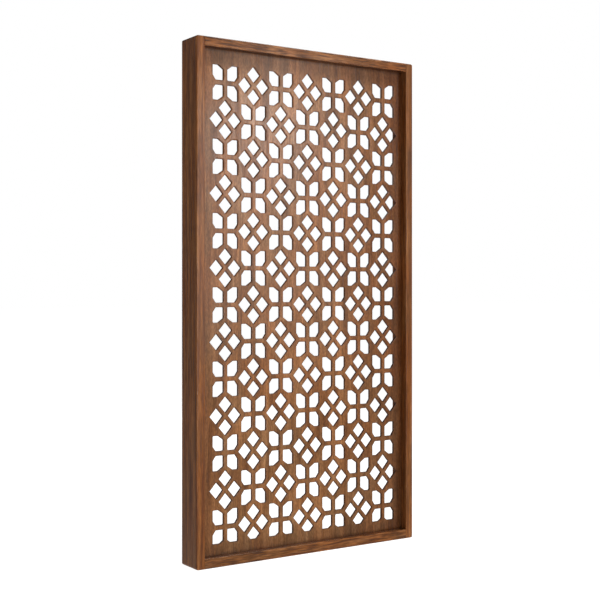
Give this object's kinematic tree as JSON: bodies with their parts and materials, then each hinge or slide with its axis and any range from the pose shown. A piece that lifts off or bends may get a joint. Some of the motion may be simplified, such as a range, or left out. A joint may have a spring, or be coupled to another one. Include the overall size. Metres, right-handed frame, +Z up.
{
  "type": "mashrabiya screen",
  "caption": "Tall pierced timber screen: a thin fretted panel of petal and diamond cut-outs set back in a deep box frame, for privacy and shade.",
  "frame": {"origin": "middle of the underside, on the plane the screen stands on", "axes": "+Z up along the screen's height, +X to the right seen from the front, +Y towards the back, so the front faces -Y"},
  "size_m": [0.62, 0.072, 1.2],
  "materials": {
    "stile_wood": "walnut-brown stain under a satin clear coat, grain upright",
    "rail_wood": "walnut-brown stain under a satin clear coat, grain level",
    "panel_wood": "walnut veneer, stained and satin, grain upright, cut edges darker"
  },
  "bodies": {
    "root": {"stile_left": "stile_wood", "stile_right": "stile_wood", "rail_top": "rail_wood", "rail_bottom": "rail_wood", "lattice_panel": "panel_wood"}
  },
  "joints": []
}
